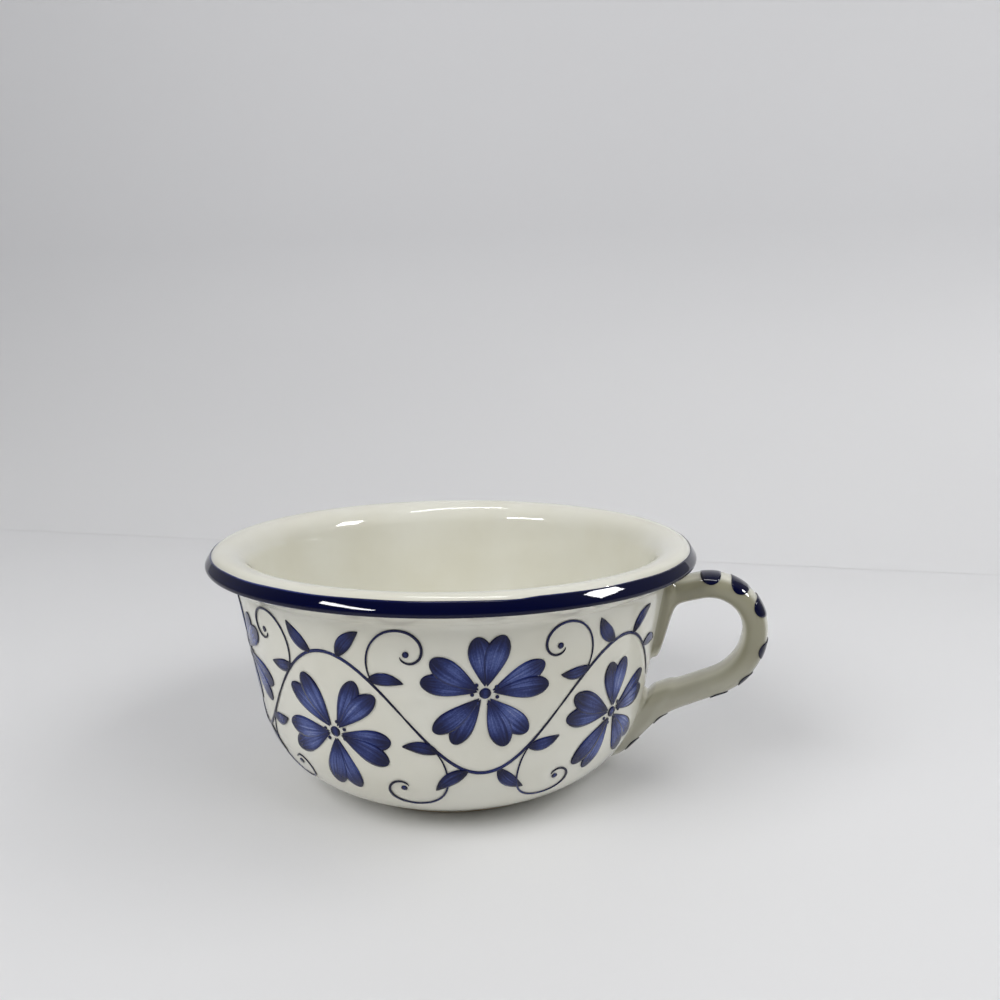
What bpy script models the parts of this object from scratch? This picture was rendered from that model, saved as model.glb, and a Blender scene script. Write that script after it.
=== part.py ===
"""Handled soup bowl: a turned earthenware bowl, a pulled strap handle, and the two slip joints
that bond the handle's ends to the wall.

Metres, +Z up. The table is z = 0, the handle points along +X, and the origin is under the middle
of the whole pot, handle included.
"""
from math import acos, ceil, copysign, cos, pi, radians, sin, tan

import bmesh
import bpy
from mathutils import Vector

# Bowl: radii are from the bowl's own axis and heights from the table.
BOWL_HEIGHT = 0.0730
WALL_TOP_RADIUS = 0.0671        # outside of the wall, where the rim turns out
WALL_TAPER = radians(10.0)      # lean of the wall from upright
WALL_THICKNESS = 0.0057
RIM_OVERHANG = 0.0079           # rolled rim past the wall
RIM_THICKNESS = 0.0056
RIM_UNDERCUT = 0.0038           # drop of the rim's underside from its edge to the wall
RIM_ROUND = 0.0027
RIM_ROOT_ROUND = 0.0035
LIP_ROUND = 0.0090              # soft turn from the inner wall to the rim's top
HEEL_HEIGHT = 0.0061            # where the wall's line would meet the underside's
HEEL_ROUND = 0.0280
FLOOR_THICKNESS = 0.0055
FLOOR_ROUND = 0.0260
FOOT_RADIUS = 0.0400
FOOT_WIDTH = 0.0055
FOOT_HEIGHT = 0.0012
FOOT_RECESS = 0.0020
FOOT_ROUND = 0.0005

# Handle: one strap, pulled, bent into a loop and smeared down the wall at both ends.
HANDLE_OVERHANG = 0.0215        # outermost face of the strap past the rim
HANDLE_THICKNESS = 0.0074
HANDLE_WIDTH = 0.0130
UPPER_BEND = 0.0130             # bends of the strap's centre line
LOWER_BEND = 0.0185
UPPER_ROOT_DROP = 0.0149        # centre of the upper end below the rim's top
UPPER_RISE = radians(15.0)      # climb of the strap as it leaves the wall
UPPER_TAIL = 0.0205             # smear down the wall from the upper end's centre
UPPER_FLARE = 0.0023            # distance from the wall where half of the smear is reached
LOWER_ROOT_HEIGHT = 0.0216
LOWER_FALL = radians(24.0)      # fall of the strap as it comes back to the wall
LOWER_TAIL = 0.0205
LOWER_FLARE = 0.0080
ROOT_SWELL = 0.0012             # gain of the strap on its other three sides at the wall
UPPER_SHARPNESS = 4.5           # how suddenly the smear comes: the lower one is the blunter slab
LOWER_SHARPNESS = 7.0
TURN_LEAD = 2.2                 # how much sooner a section turns to the wall than it swells
TURN_SHARPNESS = 3.0
SECTION_POWER = 2.4             # 2 is an ellipse, more is squarer

# Slip: the liquid clay between the handle and the wall, with a fine seam on both sides of it.
SLIP_THICKNESS = 0.0010
SLIP_SQUEEZE = 0.0008           # slip pressed out past the handle's edge
SEAM = 0.0003

# Fineness of the facets.
TURN_STEPS = 64
ARC_SAG = 0.00006               # most that a facet cuts a profile's arc short
SECTION_POINTS = 20
STATIONS = 60
STATION_CROWDING = 0.7          # 0 spaces the handle's sections evenly, near 1 packs them at the wall
WALK_STEP = 0.0002
JOINT_STATIONS = STATIONS // 4  # sections at each end that the slip joint is lofted over
TINY = 0.0000001                # lengths below this count as none

RIM_RADIUS = WALL_TOP_RADIUS + RIM_OVERHANG
HANDLE_REACH = RIM_RADIUS + HANDLE_OVERHANG
RIM_EDGE_BOTTOM = BOWL_HEIGHT - RIM_THICKNESS
RIM_ROOT_HEIGHT = RIM_EDGE_BOTTOM - RIM_UNDERCUT
FLOOR_HEIGHT = FOOT_RECESS + FLOOR_THICKNESS
UPPER_ROOT_HEIGHT = BOWL_HEIGHT - UPPER_ROOT_DROP
HANDLE_SEAT = SLIP_THICKNESS + 2 * SEAM
ROOT_DEPTH = HANDLE_SEAT + WALL_THICKNESS / 2


def wall_line(height, inset=0.0):
    """Radius of the wall's straight outer face, or of a face parallel to it and further in."""
    lean = (height - RIM_ROOT_HEIGHT) * tan(WALL_TAPER)
    return WALL_TOP_RADIUS + lean - inset / cos(WALL_TAPER)


def rounded_path(corners):
    """Points along straight runs through (x, z, radius) corners, each rounded by an arc.

    Two arcs that would not fit on the run between them shrink together until they do.
    """
    points = [Vector(corner[:2]) for corner in corners]
    turns = [0.0] + [(b - a).angle(c - b) for a, b, c in zip(points, points[1:], points[2:])] + [0.0]
    tangents = [corner[2] * tan(turn / 2) for corner, turn in zip(corners, turns)]
    fit = [1.0] * len(points)
    for k, (start, end) in enumerate(zip(points, points[1:])):
        room = (end - start).length / max(tangents[k] + tangents[k + 1], TINY)
        fit[k] = min(fit[k], room)
        fit[k + 1] = min(fit[k + 1], room)

    path = [points[0]]
    for k in range(1, len(points) - 1):
        back = (points[k - 1] - points[k]).normalized()
        ahead = (points[k + 1] - points[k]).normalized()
        tangent = tangents[k] * fit[k]
        if tangent < TINY:
            path.append(points[k])
            continue
        radius = tangent / tan(turns[k] / 2)
        centre = points[k] + (back + ahead).normalized() * radius / cos(turns[k] / 2)
        first = points[k] + back * tangent - centre
        side = copysign(1.0, back.x * ahead.y - back.y * ahead.x)
        steps = max(2, ceil(turns[k] / (2 * acos(1 - min(ARC_SAG / radius, 0.5)))))
        for i in range(steps + 1):
            angle = -side * turns[k] * i / steps
            path.append(centre + Vector((first.x * cos(angle) - first.y * sin(angle),
                                         first.x * sin(angle) + first.y * cos(angle))))
    return path + [points[-1]]


OUTSIDE_CORNERS = [
    (RIM_RADIUS, BOWL_HEIGHT, RIM_ROUND),
    (RIM_RADIUS, RIM_EDGE_BOTTOM, RIM_ROUND),
    (WALL_TOP_RADIUS, RIM_ROOT_HEIGHT, RIM_ROOT_ROUND),
    (wall_line(HEEL_HEIGHT), HEEL_HEIGHT, HEEL_ROUND),
    (FOOT_RADIUS, FOOT_HEIGHT, 0.0),
]
INSIDE_CORNERS = [
    (0.0, FLOOR_HEIGHT, 0.0),
    (wall_line(FLOOR_HEIGHT, WALL_THICKNESS), FLOOR_HEIGHT, FLOOR_ROUND),
    (wall_line(BOWL_HEIGHT, WALL_THICKNESS), BOWL_HEIGHT, LIP_ROUND),
]
FOOT_CORNERS = [
    (FOOT_RADIUS, 0.0, FOOT_ROUND),
    (FOOT_RADIUS - FOOT_WIDTH, 0.0, FOOT_ROUND),
    (FOOT_RADIUS - FOOT_WIDTH, FOOT_RECESS, FOOT_ROUND),
    (0.0, FOOT_RECESS, 0.0),
]


def wall_radius(height):
    """Radius of the bowl's outside below the rim, the curved heel included."""
    wall = rounded_path(OUTSIDE_CORNERS[1:])
    for above, below in zip(wall, wall[1:]):
        if below.y <= height <= above.y:
            share = (height - below.y) / (above.y - below.y)
            return below.x + share * (above.x - below.x)
    return FOOT_RADIUS


def offset_path(path, distance):
    """A downward-running outside path, moved out from the clay by the distance."""
    moved = []
    for k, point in enumerate(path):
        along = path[min(k + 1, len(path) - 1)] - path[max(k - 1, 0)]
        moved.append(point + Vector((-along.y, along.x)).normalized() * distance)
    return moved


def material(name, colour, roughness):
    made = bpy.data.materials.new(name)
    made.use_nodes = True
    shader = made.node_tree.nodes["Principled BSDF"]
    shader.inputs["Base Color"].default_value = (*colour, 1.0)
    shader.inputs["Roughness"].default_value = roughness
    shader.inputs["Metallic"].default_value = 0.0
    made.diffuse_color = (*colour, 1.0)
    return made


def add_object(name, mesh, finish, parent):
    made = bpy.data.objects.new(name, mesh)
    made.parent = parent
    bpy.context.collection.objects.link(made)
    if finish:
        mesh.materials.append(finish)
    return made


def turned(name, profile, finish, parent):
    """A solid of revolution from a profile that runs down its outer side."""
    mesh = bpy.data.meshes.new(name)
    mesh.from_pydata([(x, 0.0, z) for x, z in profile], [(k, k + 1) for k in range(len(profile) - 1)], [])
    made = add_object(name, mesh, finish, parent)
    screw = made.modifiers.new("turn", "SCREW")
    screw.steps = TURN_STEPS
    screw.render_steps = TURN_STEPS
    screw.use_merge_vertices = True
    screw.merge_threshold = 0.00001
    return made


def wall_cutter(name, distance, parent):
    """The whole inside of the bowl's outer face, grown by the distance, for cutting with."""
    outside = offset_path(rounded_path(OUTSIDE_CORNERS), distance)
    profile = [Vector((0.0, outside[0].y)), *outside, Vector((0.0, outside[-1].y))]
    cutter = turned(name, profile, None, parent)
    cutter.hide_render = True
    cutter.display_type = "WIRE"
    return cutter


def cut(target, cutter, operation):
    boolean = target.modifiers.new(cutter.name, "BOOLEAN")
    boolean.operation = operation
    boolean.solver = "EXACT"
    boolean.object = cutter


def handle_line():
    """Centre line of the strap, as (point, distance from the upper wall) pairs that crowd towards
    both ends, and its length from wall to wall. Inside the wall it runs square to the wall.
    """
    upper_root = Vector((wall_radius(UPPER_ROOT_HEIGHT), UPPER_ROOT_HEIGHT))
    lower_root = Vector((wall_radius(LOWER_ROOT_HEIGHT), LOWER_ROOT_HEIGHT))
    upper_way = Vector((cos(UPPER_RISE), sin(UPPER_RISE)))
    lower_way = Vector((cos(LOWER_FALL), sin(LOWER_FALL)))
    upper_down = wall_way(UPPER_ROOT_HEIGHT, UPPER_TAIL)
    lower_down = wall_way(LOWER_ROOT_HEIGHT, LOWER_TAIL)
    far = HANDLE_REACH - HANDLE_THICKNESS / 2
    upper_bend = upper_root + upper_way * (far - upper_root.x) / upper_way.x
    lower_bend = lower_root + lower_way * (far - lower_root.x) / lower_way.x
    path = rounded_path([
        (*(upper_root + Vector((upper_down.y, -upper_down.x)) * ROOT_DEPTH), 0.0),
        (*upper_root, 0.0),
        (*upper_bend, UPPER_BEND),
        (*lower_bend, LOWER_BEND),
        (*lower_root, 0.0),
        (*(lower_root + Vector((lower_down.y, -lower_down.x)) * ROOT_DEPTH), 0.0),
    ])
    lengths = [0.0]
    for start, end in zip(path, path[1:]):
        lengths.append(lengths[-1] + (end - start).length)
    line = []
    for i in range(STATIONS + 1):
        share = i / STATIONS
        want = lengths[-1] * (share - STATION_CROWDING * sin(2 * pi * share) / (2 * pi))
        k = next(k for k in range(len(path) - 1) if want <= lengths[k + 1] + TINY)
        share = (want - lengths[k]) / (lengths[k + 1] - lengths[k])
        line.append((path[k].lerp(path[k + 1], share), want - ROOT_DEPTH))
    return line, lengths[-1] - 2 * ROOT_DEPTH


def wall_way(height, tail):
    """Direction down the wall from an end of the handle to the tip of its tail."""
    root = Vector((wall_radius(height), height))
    tip = root
    while (tip - root).length < tail and tip.y > FOOT_HEIGHT:
        tip = Vector((wall_radius(tip.y - WALK_STEP), tip.y - WALK_STEP))
    return (tip - root).normalized()


def flare(distance, size, sharpness):
    """Share of the swelling at a distance from the wall: 1 at the wall, half at the size."""
    return 1 / (1 + (max(distance, 0.0) / size) ** sharpness)


def handle_stations(grow=0.0):
    """Sections of the strap: centre, direction out of the loop, reach out, reach in, half width.

    At the wall each end swells, most of all down the wall, and turns to lie along it.
    """
    line, length = handle_line()
    half = HANDLE_THICKNESS / 2
    upper_out = -wall_way(UPPER_ROOT_HEIGHT, UPPER_TAIL)
    lower_out = wall_way(LOWER_ROOT_HEIGHT, LOWER_TAIL)
    stations = []
    for k, (centre, distance) in enumerate(line):
        along = line[min(k + 1, len(line) - 1)][0] - line[max(k - 1, 0)][0]
        square = Vector((-along.y, along.x)).normalized()
        upper = flare(distance, UPPER_FLARE, UPPER_SHARPNESS)
        lower = flare(length - distance, LOWER_FLARE, LOWER_SHARPNESS)
        upper_turn = flare(distance, TURN_LEAD * UPPER_FLARE, TURN_SHARPNESS)
        lower_turn = flare(length - distance, TURN_LEAD * LOWER_FLARE, TURN_SHARPNESS)
        out = square.lerp(upper_out, upper_turn).lerp(lower_out, lower_turn).normalized()
        swell = ROOT_SWELL * (upper + lower)
        plain = half / out.dot(square) + swell
        reach_out = plain + max(LOWER_TAIL - plain, 0.0) * lower + grow
        reach_in = plain + max(UPPER_TAIL - plain, 0.0) * upper + grow
        stations.append((centre, out, reach_out, reach_in, HANDLE_WIDTH / 2 + swell + grow))
    return stations


def loft(name, stations, finish, parent):
    """A closed skin over rounded sections, each as wide along Y as its half width says."""
    shape = bmesh.new()
    rings = []
    for centre, out, reach_out, reach_in, half_width in stations:
        ring = []
        for k in range(SECTION_POINTS):
            angle = 2 * pi * k / SECTION_POINTS
            across = copysign(abs(cos(angle)) ** (2 / SECTION_POWER), cos(angle)) * half_width
            up = copysign(abs(sin(angle)) ** (2 / SECTION_POWER), sin(angle))
            point = centre + out * up * (reach_out if up > 0 else reach_in)
            ring.append(shape.verts.new((point.x, across, point.y)))
        rings.append(ring)
    for ring, following in zip(rings, rings[1:]):
        for k in range(SECTION_POINTS):
            after = (k + 1) % SECTION_POINTS
            shape.faces.new((ring[k], ring[after], following[after], following[k]))
    shape.faces.new(reversed(rings[0]))
    shape.faces.new(rings[-1])
    bmesh.ops.recalc_face_normals(shape, faces=shape.faces)
    mesh = bpy.data.meshes.new(name)
    shape.to_mesh(mesh)
    shape.free()
    return add_object(name, mesh, finish, parent)


def build():
    for old in list(bpy.data.objects):
        bpy.data.objects.remove(old)

    glaze = material("cream_glaze", (0.76, 0.74, 0.64), 0.12)
    handle_glaze = material("handle_glaze", (0.74, 0.72, 0.62), 0.12)
    slip = material("fired_slip", (0.66, 0.62, 0.51), 0.45)

    axis = bpy.data.objects.new("bowl_axis", None)
    axis.location.x = (RIM_RADIUS - HANDLE_REACH) / 2
    bpy.context.collection.objects.link(axis)

    profile = rounded_path(INSIDE_CORNERS + OUTSIDE_CORNERS + FOOT_CORNERS)
    turned("bowl_body", profile, glaze, axis)

    slip_back = wall_cutter("slip_back", SEAM, axis)
    slip_face = wall_cutter("slip_face", SEAM + SLIP_THICKNESS, axis)
    handle_seat = wall_cutter("handle_seat", HANDLE_SEAT, axis)

    stations = handle_stations()
    handle = loft("handle", stations, handle_glaze, axis)
    cut(handle, handle_seat, "DIFFERENCE")

    squeezed = handle_stations(SLIP_SQUEEZE)
    for name, sections in (
        ("upper_slip_joint", squeezed[:JOINT_STATIONS]),
        ("lower_slip_joint", squeezed[-JOINT_STATIONS:]),
    ):
        pad = loft(name, sections, slip, axis)
        cut(pad, slip_back, "DIFFERENCE")
        cut(pad, slip_face, "INTERSECT")


build()
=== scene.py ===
# %% [markdown]
# # A handled soup bowl
# The real bowl is pale earthenware. It was turned on a wheel, a strap of clay was pulled, bent and
# luted to its side, and it was painted with cobalt, dipped in a cream glaze and fired.
# This lesson goes much the same way: it mixes the glaze, turns the body, draws out the handle and lays
# on the brushwork. Everything is in metres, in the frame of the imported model.

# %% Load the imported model
from math import acos, ceil, copysign, cos, pi, radians, sin, sqrt, tan
from random import Random

import bmesh
import bpy
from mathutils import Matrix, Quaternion, Vector
from mathutils.bvhtree import BVHTree


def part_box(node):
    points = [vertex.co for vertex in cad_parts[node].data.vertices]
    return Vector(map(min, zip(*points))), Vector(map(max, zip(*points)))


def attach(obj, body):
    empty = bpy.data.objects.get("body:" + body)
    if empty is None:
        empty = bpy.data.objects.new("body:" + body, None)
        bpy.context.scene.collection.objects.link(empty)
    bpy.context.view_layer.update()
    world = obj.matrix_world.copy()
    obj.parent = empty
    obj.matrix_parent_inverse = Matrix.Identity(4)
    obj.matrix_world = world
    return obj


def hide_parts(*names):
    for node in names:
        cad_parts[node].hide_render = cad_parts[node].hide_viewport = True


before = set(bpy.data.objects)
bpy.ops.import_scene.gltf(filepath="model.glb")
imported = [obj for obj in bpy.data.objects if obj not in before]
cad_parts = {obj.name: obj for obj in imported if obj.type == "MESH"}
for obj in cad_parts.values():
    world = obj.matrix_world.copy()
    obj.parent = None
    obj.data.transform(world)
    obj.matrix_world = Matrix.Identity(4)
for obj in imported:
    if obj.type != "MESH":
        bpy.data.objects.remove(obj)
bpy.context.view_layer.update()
MM = 0.001

bowl_low, bowl_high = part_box("bowl_body")
handle_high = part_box("handle")[1]
AXIS_X = (bowl_low.x + bowl_high.x) / 2
RIM_RADIUS = (bowl_high.x - bowl_low.x) / 2
BOWL_HEIGHT = bowl_high.z
HANDLE_REACH = handle_high.x - AXIS_X
print(f"rim radius {RIM_RADIUS / MM:.1f} mm, height {BOWL_HEIGHT / MM:.1f} mm")
print(f"handle reaches {HANDLE_REACH / MM:.1f} mm from the bowl's axis, at x = {AXIS_X / MM:.2f} mm")

# %% [markdown]
# ## The camera
# The photograph was taken from close by with a phone's wide lens, a little above the rim and with the
# handle turned slightly towards the viewer. A close, wide camera makes the near rim sweep down and the
# far rim look small, so the same distance and lens matter more than any later trick.

# %% Camera
CAMERA_PLACE = Vector((62.4, -255.1, 125.7)) * MM
CAMERA_AIM = Vector((6.2, -8.8, 86.1)) * MM
CAMERA_ROLL = radians(-0.19)
CAMERA_LENS = 30.6              # millimetres, as is the sensor
CAMERA_SENSOR = 36.0
CAMERA_CLIP = 10 * MM


def new_object(name, data):
    """A new object, put into the scene."""
    made = bpy.data.objects.new(name, data)
    bpy.context.collection.objects.link(made)
    return made


camera = new_object("camera", bpy.data.cameras.new("camera"))
camera.data.lens = CAMERA_LENS
camera.data.sensor_width = CAMERA_SENSOR
camera.data.clip_start = CAMERA_CLIP
camera.location = CAMERA_PLACE
camera.rotation_mode = "QUATERNION"
facing = (CAMERA_AIM - CAMERA_PLACE).to_track_quat("-Z", "Y")
camera.rotation_quaternion = facing @ Quaternion((0, 0, 1), CAMERA_ROLL)
bpy.context.scene.camera = camera
print(f"camera is {(CAMERA_AIM - CAMERA_PLACE).length / MM:.0f} mm from the point it looks at")

# %% [markdown]
# ## A few small tools
# Node trees are long to write by hand, so one function adds a node with its settings and links, for
# materials and for Geometry Nodes alike. A link can name a node, and then starts at its first output in
# use. Another function turns a colour written as a hex code, which is how a screen shows it, into the
# linear numbers that Blender computes light with.

# %% Colours
def linear(code):
    """Linear colour with alpha, from an sRGB hex code such as E3E0D3."""
    shares = [int(code[k:k + 2], 16) / 255 for k in (0, 2, 4)]
    return (*(c / 12.92 if c <= 0.04045 else ((c + 0.055) / 1.055) ** 2.4 for c in shares), 1.0)


print("cream in linear light:", [round(c, 3) for c in linear("E3E0D3")])

# %% Nodes
SMOOTH = {"interpolation_type": "SMOOTHSTEP"}       # for ranges that start and end softly


def feed(node, inputs):
    """Sets each input of a node to a value, or links it from another node or one of its outputs."""
    for key, value in inputs.items():
        if isinstance(value, bpy.types.Node):
            value = next(output for output in value.outputs if output.enabled)
        if isinstance(value, bpy.types.NodeSocket):
            node.id_data.links.new(value, node.inputs[key])
        else:
            node.inputs[key].default_value = value


def add(tree, kind, inputs=None, **settings):
    """A new node with its settings and inputs."""
    made = tree.nodes.new(kind)
    for name, value in settings.items():
        setattr(made, name, value)
    feed(made, inputs or {})
    return made


def ramp_stops(ramp, stops):
    """The colour ramp node, set to (position, hex code) stops."""
    points = ramp.color_ramp.elements
    while len(points) < len(stops):
        points.new(1.0)
    for point, (position, code) in zip(points, stops):
        point.position = position
        point.color = linear(code)
    return ramp


def new_material(name):
    """An empty material: its tree, its shader, and the piece's own coordinates in metres."""
    made = bpy.data.materials.new(name)
    made.use_nodes = True
    tree = made.node_tree
    return made, tree, tree.nodes["Principled BSDF"], add(tree, "ShaderNodeTexCoord").outputs["Object"]


# %% [markdown]
# ## The cream glaze
# The body is coated with a gloss glaze that fires to a warm, slightly milky cream. To the eye
# it is a smooth, wet-looking skin: a sharp reflection, a faint waviness where the glaze ran before it
# set, colour that drifts a little from patch to patch, and now and then a speck of iron from the clay.
# The ring that the bowl stands on was wiped clean, so that it would not fuse to the kiln shelf, and it
# shows the dull buff clay. A glaze is nearly glass, so the index of refraction is that of glass and
# the roughness is low. Two such glazes are made: the handle's is a shade greyer, partly its own tone and
# partly painted shade, and the sides of its strap are darkened further with painted shade.

# %% Sizes and tones in the glaze
GLASS_INDEX = 1.48              # of refraction
GLAZE_ROUGHNESS = 0.035
GLAZE_PATCH = 30 * MM           # drift of the colour
DRIFT_LOW = 0.35                # values of its noise between which one cream turns into the other
DRIFT_HIGH = 0.65
GLAZE_WAVE = 13 * MM            # unevenness that bends a reflection
WAVE_DEPTH = 0.20 * MM
WAVE_STRENGTH = 0.20
GLAZE_DIMPLE = 1.6 * MM         # fine orange-peel texture
DIMPLE_DEPTH = 0.02 * MM
DIMPLE_STRENGTH = 0.06
SPECK_SPACING = 11 * MM
SPECK_RADIUS = 0.30 * MM
SPECK_SHARE = 0.28              # of the places where a speck could be
SPECK_COLOUR = "9C8C6C"
WIPED_HEIGHT = 0.8 * MM         # the foot ring is bare up to an uneven edge below this
WIPED_UNEVEN = 4 * MM           # size of that unevenness
CLAY_GRAIN = 0.8 * MM
CLAY_COLOURS = [(0.3, "B79F7E"), (0.7, "CDB899")]
CLAY_ROUGHNESS = 0.85
# Painted shade on the handle: the strap's sides darken between these two distances from its middle, most of
# all on its upper part
SIDE_SHADE_START = 3.6 * MM         # from the strap's middle
SIDE_SHADE_END = 5.8 * MM
SIDE_SHADE_LOW = 32 * MM            # heights between which the painted shade fades downwards
SIDE_SHADE_HIGH = 44 * MM
SIDE_SHADE_REST = 0.60              # how much of the painted shade is left at the lower one
print(f"specks: in {SPECK_SHARE:.0%} of places that are {SPECK_SPACING / MM:.0f} mm apart")


# %% Glaze material
def glaze_material(name, pale, deep, side_shade=None):
    """Glossy fired glaze between two close creams, bare clay on the foot ring, and on the handle a third
    tone, painted shade, on the sides of the strap, most of all on its upper part."""
    made, tree, shader, place = new_material(name)
    drift, ragged, clay, wave, dimple = (
        add(tree, "ShaderNodeTexNoise", {"Vector": place, "Scale": 1 / size, "Detail": detail})
        for size, detail in ((GLAZE_PATCH, 3.0), (WIPED_UNEVEN, 2.0), (CLAY_GRAIN, 4.0), (GLAZE_WAVE, 1.0),
                             (GLAZE_DIMPLE, 1.0)))
    spot = add(tree, "ShaderNodeSeparateXYZ", {"Vector": place}).outputs
    coats = []
    # painted shade: the strap's sides made darker, and darker still on its upper part
    if side_shade:
        aside = add(tree, "ShaderNodeMath", {0: spot["Y"]}, operation="ABSOLUTE")
        shaded_sides = add(tree, "ShaderNodeMapRange", {
            "Value": aside, "From Min": SIDE_SHADE_START, "From Max": SIDE_SHADE_END}, **SMOOTH)
        upper = add(tree, "ShaderNodeMapRange", {
            "Value": spot["Z"], "From Min": SIDE_SHADE_LOW, "From Max": SIDE_SHADE_HIGH, "To Min": SIDE_SHADE_REST,
        }, **SMOOTH)
        amount = add(tree, "ShaderNodeMath", {0: shaded_sides, 1: upper}, operation="MULTIPLY")
        coats.append((amount, linear(side_shade)))

    cells = add(tree, "ShaderNodeTexVoronoi", {"Vector": place, "Scale": 1 / SPECK_SPACING}).outputs
    near = add(tree, "ShaderNodeMath", {0: cells["Distance"], 1: SPECK_RADIUS / SPECK_SPACING},
               operation="LESS_THAN")
    chance = add(tree, "ShaderNodeSeparateColor", {"Color": cells["Color"]}).outputs["Red"]
    chosen = add(tree, "ShaderNodeMath", {0: chance, 1: 1 - SPECK_SHARE}, operation="GREATER_THAN")
    speck = add(tree, "ShaderNodeMath", {0: near, 1: chosen}, operation="MULTIPLY")
    coats.append((speck, linear(SPECK_COLOUR)))

    edge = add(tree, "ShaderNodeMath", {0: ragged, 1: WIPED_HEIGHT}, operation="MULTIPLY")
    bare = add(tree, "ShaderNodeMath", {0: spot["Z"], 1: edge}, operation="LESS_THAN")
    coats.append((bare, ramp_stops(add(tree, "ShaderNodeValToRGB", {"Fac": clay}), CLAY_COLOURS)))
    skin = ramp_stops(add(tree, "ShaderNodeValToRGB", {"Fac": drift}),
                      [(DRIFT_LOW, deep), (DRIFT_HIGH, pale)])
    for share, colour in coats:     # 6 and 7 are the inputs for the colours under and over
        skin = add(tree, "ShaderNodeMix", {"Factor": share, 6: skin, 7: colour}, data_type="RGBA")
    gloss = add(tree, "ShaderNodeMapRange", {
        "Value": bare, "To Min": GLAZE_ROUGHNESS, "To Max": CLAY_ROUGHNESS})

    waves = add(tree, "ShaderNodeBump", {"Height": wave, "Strength": WAVE_STRENGTH, "Distance": WAVE_DEPTH})
    peel = add(tree, "ShaderNodeBump", {
        "Height": dimple, "Strength": DIMPLE_STRENGTH, "Distance": DIMPLE_DEPTH, "Normal": waves})
    feed(shader, {"Base Color": skin, "Roughness": gloss, "Normal": peel, "IOR": GLASS_INDEX})
    return made


bowl_glaze = glaze_material("cream_gloss_glaze", "E4E3D8", "DEDCCE")
# The handle's creams are a shade greyer than the bowl's, partly their own tone and partly painted shade; its
# third tone is painted shade on the strap's sides.
handle_glaze = glaze_material("shaded_grey_cream_glaze", "DAD8CB", "D0CEBF", side_shade="93907B")
print("glazes:", bowl_glaze.name, "and", handle_glaze.name)

# %% [markdown]
# ## The turned body
# A potter turns a bowl by holding one profile against a spinning wheel, so one profile is all that a
# model of it needs. The profile is straight runs with rounded corners: up the inside, over the rolled
# rim, down the wall, round the heel and across the foot ring. It follows the profile of the solids in
# finer steps, so that the reflections run smoothly, and its rim, heel and foot differ from theirs by
# about a millimetre at most, for the highlights and the shadow.

# %% Sizes of the rim and the wall
RIM_OVERHANG = 7.9 * MM         # rolled rim past the wall
RIM_BEVEL = 5.6 * MM            # sloping face of the rim, corner to corner
RIM_SLOPE = radians(36.0)       # how far that face looks up
RIM_ROUND = 3.0 * MM            # from the top to the slope
RIM_EDGE_ROUND = 1.1 * MM       # from the slope to the underside
RIM_EDGE_SPARE = 0.43 * MM      # what that rounding takes off the corner's radius
RIM_SWELL = 0.22 * MM           # how far the sloping face bulges
RIM_FACE_ROUND = 16.0 * MM
RIM_ROOT_DROP = 9.4 * MM
RIM_ROOT_ROUND = 3.5 * MM
WALL_TAPER = radians(10.0)

WALL_TOP_RADIUS = RIM_RADIUS - RIM_OVERHANG
RIM_ROOT_HEIGHT = BOWL_HEIGHT - RIM_ROOT_DROP
RIM_EDGE = Vector((RIM_RADIUS + RIM_EDGE_SPARE, BOWL_HEIGHT - RIM_BEVEL * cos(RIM_SLOPE)))
RIM_CORNER = Vector((RIM_EDGE.x - RIM_BEVEL * sin(RIM_SLOPE), BOWL_HEIGHT))
RIM_FACE = RIM_CORNER.lerp(RIM_EDGE, 0.5) + RIM_SWELL * Vector((cos(RIM_SLOPE), sin(RIM_SLOPE)))


def wall_line(height, inset=0.0):
    """Radius of the wall's straight outer face, or of a face parallel to it and further in."""
    return WALL_TOP_RADIUS + (height - RIM_ROOT_HEIGHT) * tan(WALL_TAPER) - inset / cos(WALL_TAPER)


print(f"rim's slope: from {RIM_CORNER.x / MM:.1f} to {RIM_EDGE.x / MM:.1f} mm from the axis")

# %% Paths with rounded corners
ARC_SAG = 0.004 * MM            # most that a facet cuts an arc short
RUN_STEP = 4.0 * MM             # straight runs are divided this finely


def rounded_path(corners):
    """Points along straight runs through (radius, height, rounding) corners."""
    points = [Vector(corner[:2]) for corner in corners]
    path = [points[0]]
    for k in range(1, len(points) - 1):
        back = (points[k - 1] - points[k]).normalized()
        ahead = (points[k + 1] - points[k]).normalized()
        rounding = corners[k][2]
        turn = pi - back.angle(ahead)
        if rounding == 0.0:
            path.append(points[k])
            continue
        centre = points[k] + (back + ahead).normalized() * rounding / cos(turn / 2)
        first = points[k] + back * rounding * tan(turn / 2) - centre
        side = copysign(1.0, back.x * ahead.y - back.y * ahead.x)
        steps = ceil(turn / (2 * acos(1 - ARC_SAG / rounding)))
        for i in range(steps + 1):
            angle = -side * turn * i / steps
            path.append(centre + Vector((first.x * cos(angle) - first.y * sin(angle),
                                         first.x * sin(angle) + first.y * cos(angle))))
    return path + [points[-1]]


def divided(path):
    """The same path with its long runs divided."""
    fine = [path[0]]
    for start, end in zip(path, path[1:]):
        parts = max(1, ceil((end - start).length / RUN_STEP))
        fine += [start.lerp(end, i / parts) for i in range(1, parts + 1)]
    return fine


# %% Profile of the bowl
LIP_ROUND = 9.0 * MM
WALL_THICKNESS = 5.7 * MM
HEEL_HEIGHT = 6.6 * MM
HEEL_ROUND = 28.0 * MM
FLOOR_HEIGHT = 7.5 * MM
FLOOR_ROUND = 26.0 * MM
FOOT_RADIUS = 39.2 * MM
FOOT_WIDTH = 5.5 * MM
FOOT_HEIGHT = 1.7 * MM
FOOT_RECESS = 2.2 * MM
FOOT_ROUND = 0.5 * MM

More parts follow.
